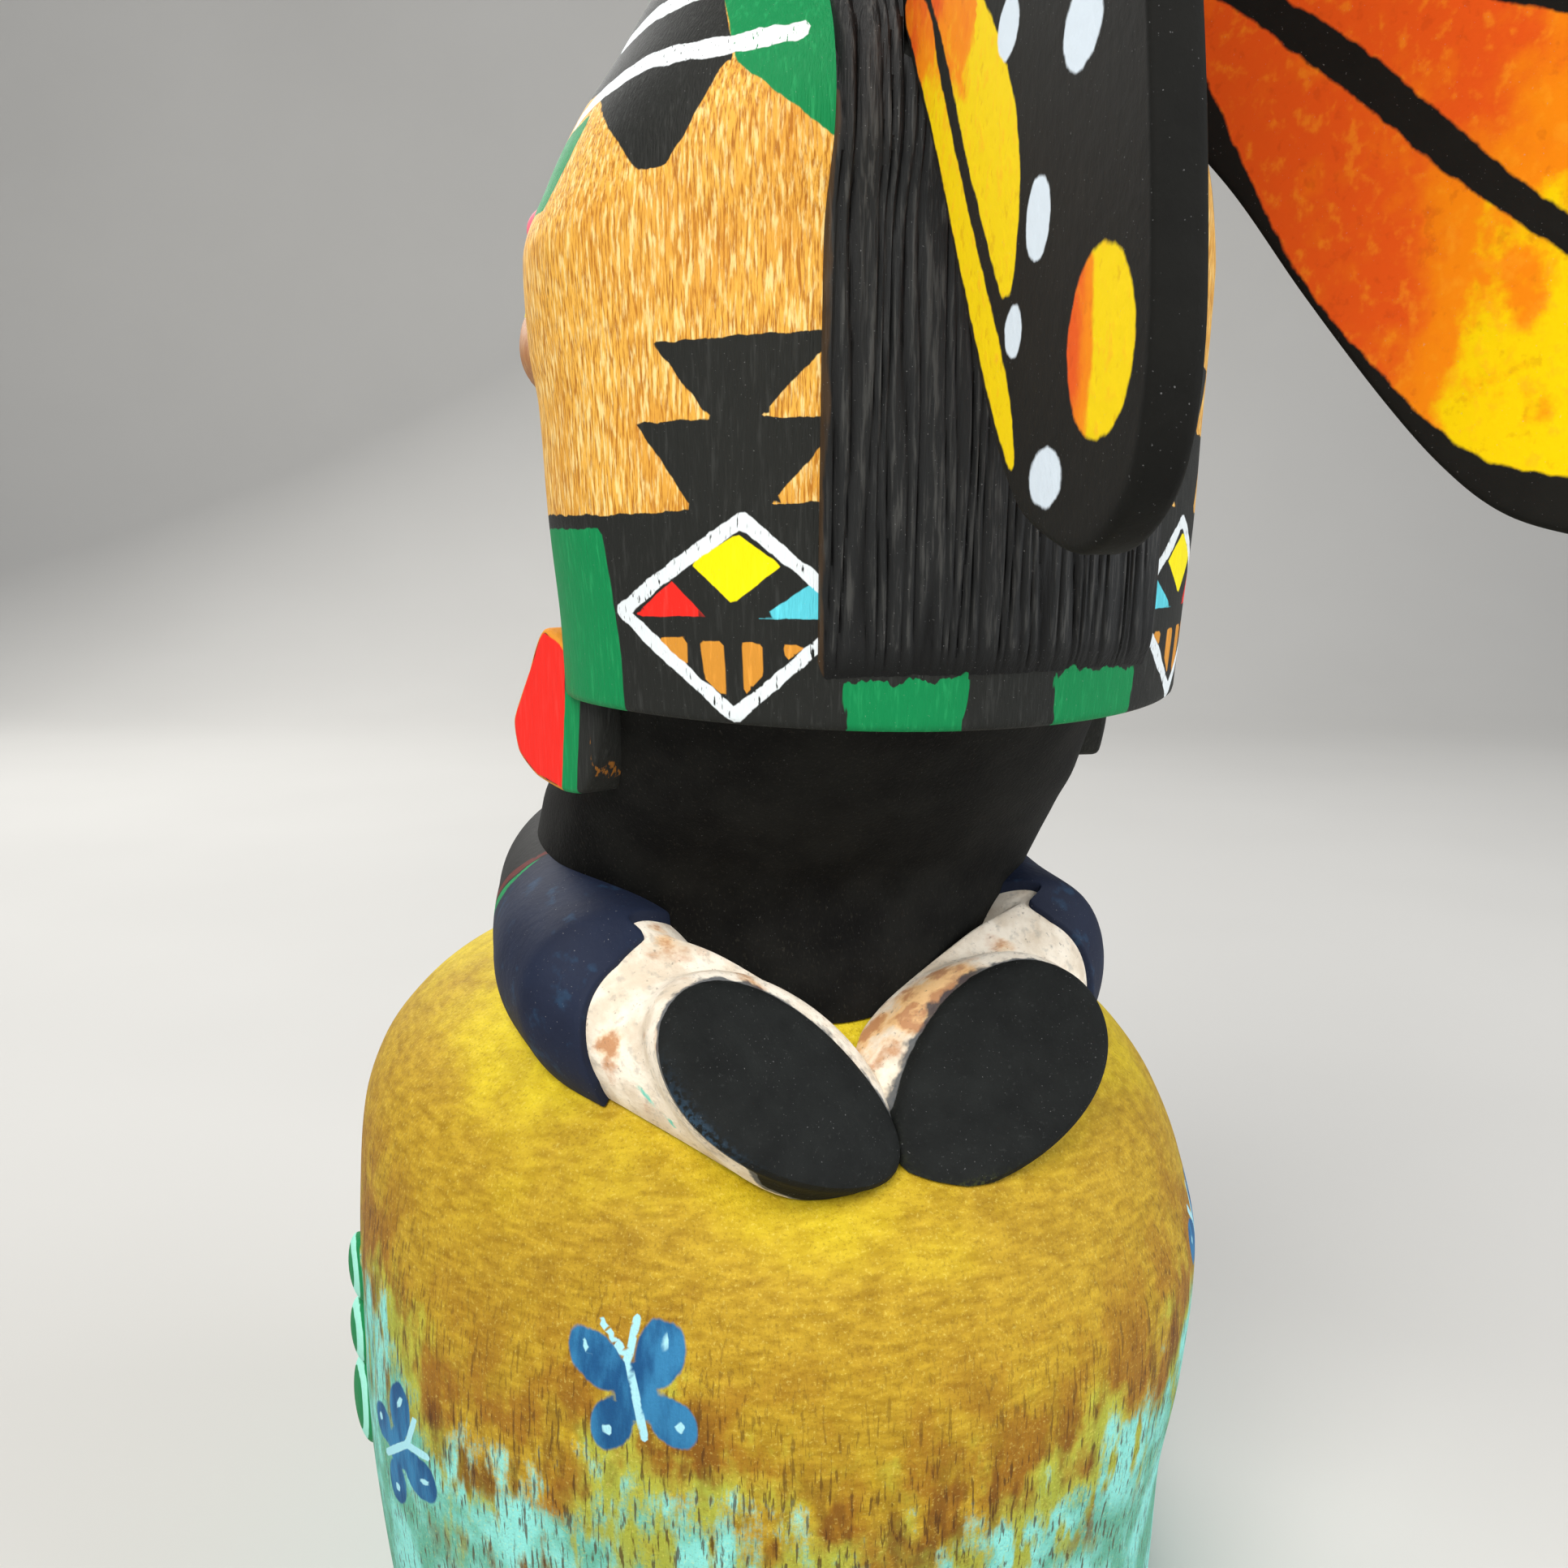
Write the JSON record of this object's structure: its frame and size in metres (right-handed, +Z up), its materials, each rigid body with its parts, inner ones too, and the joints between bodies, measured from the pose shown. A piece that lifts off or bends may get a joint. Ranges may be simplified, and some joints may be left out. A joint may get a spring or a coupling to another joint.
{
  "type": "kachina doll",
  "caption": "Kneeling carved and painted wooden kachina doll in a patterned cape, with butterfly wings on its back, on a rounded painted mound base.",
  "frame": {"origin": "centre of the base's underside", "axes": "+Z up, the figure faces -Y, and its left is +X"},
  "size_m": [0.0771, 0.126, 0.1783],
  "materials": {
    "base_paint": "matt paint, yellow over brown to turquoise, brushed thin over the grain",
    "figure_paint": "oiled ochre wood with matt painted patterns",
    "wing_left_paint": "matt paint, orange to yellow with black veins and borders",
    "wing_right_paint": "matt paint, orange to yellow with black veins and borders"
  },
  "bodies": {
    "root": {"base": "base_paint", "figure": "figure_paint", "wing_left": "wing_left_paint", "wing_right": "wing_right_paint"}
  },
  "joints": []
}
